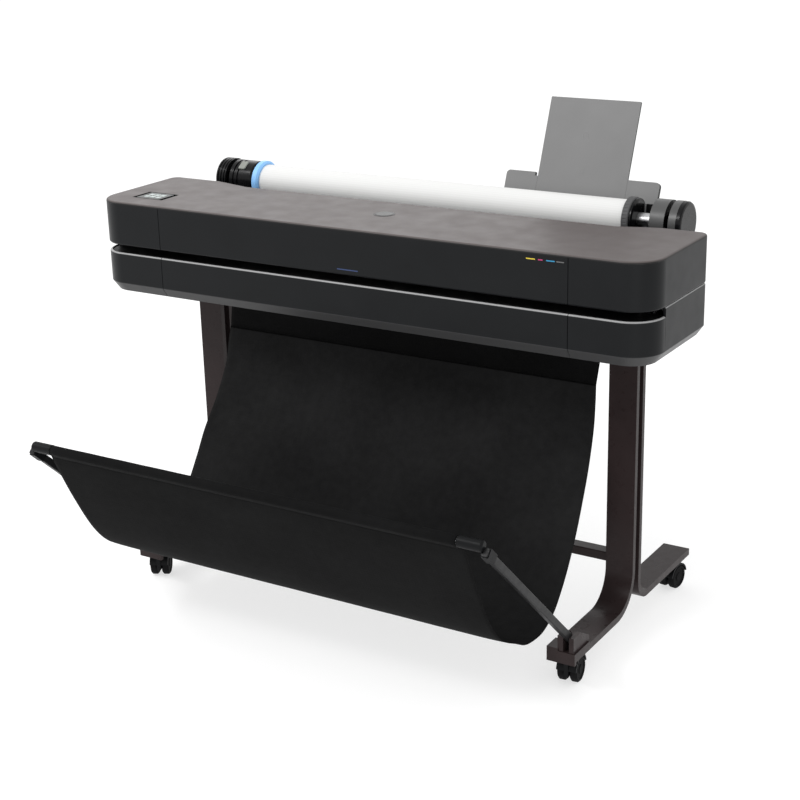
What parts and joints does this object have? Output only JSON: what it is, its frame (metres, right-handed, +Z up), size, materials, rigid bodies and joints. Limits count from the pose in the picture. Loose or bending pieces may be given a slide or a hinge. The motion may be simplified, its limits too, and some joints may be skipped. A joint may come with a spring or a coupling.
{
  "type": "large format plotter",
  "caption": "Roll-fed large format plotter on a wheeled stand, with a rear paper spindle, a tilting sheet feeder and a fabric catch bin that swings on two arms.",
  "frame": {"origin": "on the floor under the middle of the bounding box", "axes": "+X along the casings towards the ink bay end, +Y from the catch bin towards the paper roll, +Z up"},
  "size_m": [1.317, 0.9434, 1.06],
  "materials": {
    "casing": "satin moulded, near black",
    "lid_top": "fine matt, warm grey",
    "inner_plastic": "matt moulded, dark grey",
    "panel": "gloss black",
    "screen": "gloss, pale",
    "stand_metal": "powder coated, brown-black satin",
    "steel": "plain",
    "aluminium": "plain",
    "caster_plastic": "matt black",
    "caster_tread": "matt black",
    "arm_metal": "satin dark grey",
    "bin_fabric": "woven, black",
    "spindle_black": "gloss black",
    "flange_blue": "satin light blue",
    "ring_grey": "satin mid grey",
    "paper": "matt white paper",
    "feeder_grey": "satin mid grey",
    "belt_rubber": "matt black",
    "circuit": "satin green",
    "roller_rubber": "ground rubber"
  },
  "bodies": {
    "frame": {"base_tray": "casing", "port_plate": "inner_plastic", "lower_left_cover": "casing", "lower_front_cover": "casing", "rear_cover": "inner_plastic", "hinge_pins": "steel", "roll_cradles": "inner_plastic", "left_front_leg": "stand_metal", "right_front_leg": "stand_metal", "left_rear_leg": "stand_metal", "right_rear_leg": "stand_metal", "stand_crossbar": "stand_metal", "stand_top_plates": "stand_metal", "stand_screws": "steel", "bin_fork_brackets": "stand_metal", "bin_rear_rod": "stand_metal", "bin_fabric_back": "bin_fabric", "side_frames": "steel", "platen": "inner_plastic", "drive_motors": "steel", "chassis_beam": "aluminium", "carriage_rod": "steel", "carriage_belt": "belt_rubber", "ink_cartridges": "inner_plastic", "service_station": "inner_plastic", "main_board": "circuit", "power_supply": "steel", "power_inlet": "inner_plastic"},
    "lid": {"upper_left_cover": "casing", "upper_front_cover": "casing", "upper_right_cover": "casing", "top_cover": "lid_top", "control_panel": "panel", "touch_screen": "screen"},
    "ink_bay_door": {"ink_door": "casing"},
    "bin_frame": {"bin_bar": "aluminium", "bin_elbows": "caster_plastic", "bin_arms": "arm_metal", "bin_fabric_front": "bin_fabric"},
    "spindle": {"spindle_shaft": "spindle_black", "spindle_drum": "spindle_black", "blue_flange": "flange_blue", "paper_roll": "paper", "stop_ring": "ring_grey"},
    "sheet_feeder": {"sheet_feeder_tray": "feeder_grey"},
    "feeder_extension": {"sheet_feeder_extension": "feeder_grey"},
    "carriage": {"print_carriage": "inner_plastic"},
    "belt_drive_pulley": {"drive_pulley": "aluminium"},
    "belt_idler_pulley": {"idler_pulley": "aluminium"},
    "feed_roller": {"drive_roller": "steel"},
    "feed_pinion": {"motor_pinion": "steel"},
    "pinch_shaft": {"pinch_rollers": "roller_rubber"},
    "front_left_swivel": {"front_left_caster_hood": "caster_plastic"},
    "front_left_wheel": {"front_left_caster_wheels": "caster_tread"},
    "front_right_swivel": {"front_right_caster_hood": "caster_plastic"},
    "front_right_wheel": {"front_right_caster_wheels": "caster_tread"},
    "rear_left_swivel": {"rear_left_caster_hood": "caster_plastic"},
    "rear_left_wheel": {"rear_left_caster_wheels": "caster_tread"},
    "rear_right_swivel": {"rear_right_caster_hood": "caster_plastic"},
    "rear_right_wheel": {"rear_right_caster_wheels": "caster_tread"}
  },
  "joints": [
    {"name": "lid_hinge", "type": "hinge", "parent": "frame", "child": "lid", "pos_m": [0, 0.1995, 0.846], "axis": [-1, 0, 0], "range_deg": [0, 60]},
    {"name": "ink_door_hinge", "type": "hinge", "parent": "frame", "child": "ink_bay_door", "pos_m": [0.575, -0.0505, 0.6655], "axis": [1, 0, 0], "range_deg": [0, 85]},
    {"name": "bin_swing", "type": "hinge", "parent": "frame", "child": "bin_frame", "pos_m": [0, -0.1125, 0.098], "axis": [-1, 0, 0], "range_deg": [0, 65]},
    {"name": "roll_spin", "type": "hinge", "parent": "frame", "child": "spindle", "pos_m": [0, 0.3235, 0.845], "axis": [1, 0, 0], "continuous": true},
    {"name": "feeder_fold", "type": "hinge", "parent": "frame", "child": "sheet_feeder", "pos_m": [0.291, 0.3695, 0.815], "axis": [1, 0, 0], "range_deg": [0, 16]},
    {"name": "feeder_extend", "type": "slide", "parent": "sheet_feeder", "child": "feeder_extension", "axis": [0, 0.3746, 0.9272], "range_m": [-0.04, 0]},
    {"name": "carriage_slide", "type": "slide", "parent": "frame", "child": "carriage", "axis": [1, 0, 0], "range_m": [-1, 0]},
    {"name": "drive_pulley_spin", "type": "hinge", "parent": "frame", "child": "belt_drive_pulley", "pos_m": [-0.58, 0.0855, 0.805], "axis": [0, 1, 0], "continuous": true},
    {"name": "idler_pulley_spin", "type": "hinge", "parent": "frame", "child": "belt_idler_pulley", "pos_m": [0.58, 0.0855, 0.805], "axis": [0, 1, 0], "continuous": true},
    {"name": "drive_roller_spin", "type": "hinge", "parent": "frame", "child": "feed_roller", "pos_m": [0, 0.0905, 0.733], "axis": [1, 0, 0], "continuous": true},
    {"name": "motor_pinion_spin", "type": "hinge", "parent": "frame", "child": "feed_pinion", "pos_m": [0.6, 0.1357, 0.733], "axis": [1, 0, 0], "continuous": true},
    {"name": "pinch_roller_spin", "type": "hinge", "parent": "frame", "child": "pinch_shaft", "pos_m": [0, 0.0905, 0.7566], "axis": [1, 0, 0], "continuous": true},
    {"name": "front_left_caster_swivel", "type": "hinge", "parent": "frame", "child": "front_left_swivel", "pos_m": [-0.518, -0.1145, 0.06], "axis": [0, 0, 1], "continuous": true},
    {"name": "front_left_wheel_spin", "type": "hinge", "parent": "front_left_swivel", "child": "front_left_wheel", "pos_m": [-0.52927, -0.09331, 0.027], "axis": [0.8829, 0.4695, 0], "continuous": true},
    {"name": "front_right_caster_swivel", "type": "hinge", "parent": "frame", "child": "front_right_swivel", "pos_m": [0.518, -0.1145, 0.06], "axis": [0, 0, 1], "continuous": true},
    {"name": "front_right_wheel_spin", "type": "hinge", "parent": "front_right_swivel", "child": "front_right_wheel", "pos_m": [0.51549, -0.09063, 0.027], "axis": [0.9945, 0.1045, 0], "continuous": true},
    {"name": "rear_left_caster_swivel", "type": "hinge", "parent": "frame", "child": "rear_left_swivel", "pos_m": [-0.518, 0.3805, 0.06], "axis": [0, 0, 1], "continuous": true},
    {"name": "rear_left_wheel_spin", "type": "hinge", "parent": "rear_left_swivel", "child": "rear_left_wheel", "pos_m": [-0.52299, 0.40398, 0.027], "axis": [0.9781, 0.2079, 0], "continuous": true},
    {"name": "rear_right_caster_swivel", "type": "hinge", "parent": "frame", "child": "rear_right_swivel", "pos_m": [0.518, 0.3805, 0.06], "axis": [0, 0, 1], "continuous": true},
    {"name": "rear_right_wheel_spin", "type": "hinge", "parent": "rear_right_swivel", "child": "rear_right_wheel", "pos_m": [0.52134, 0.40427, 0.027], "axis": [0.9903, -0.1392, 0], "continuous": true}
  ],
  "couplings": [
    {"joint": "drive_pulley_spin", "follows": "carriage_slide", "rad_per_m": -101.01},
    {"joint": "idler_pulley_spin", "follows": "carriage_slide", "rad_per_m": -101.01},
    {"joint": "motor_pinion_spin", "follows": "drive_roller_spin", "ratio": -4},
    {"joint": "pinch_roller_spin", "follows": "drive_roller_spin", "ratio": -1.5556}
  ]
}
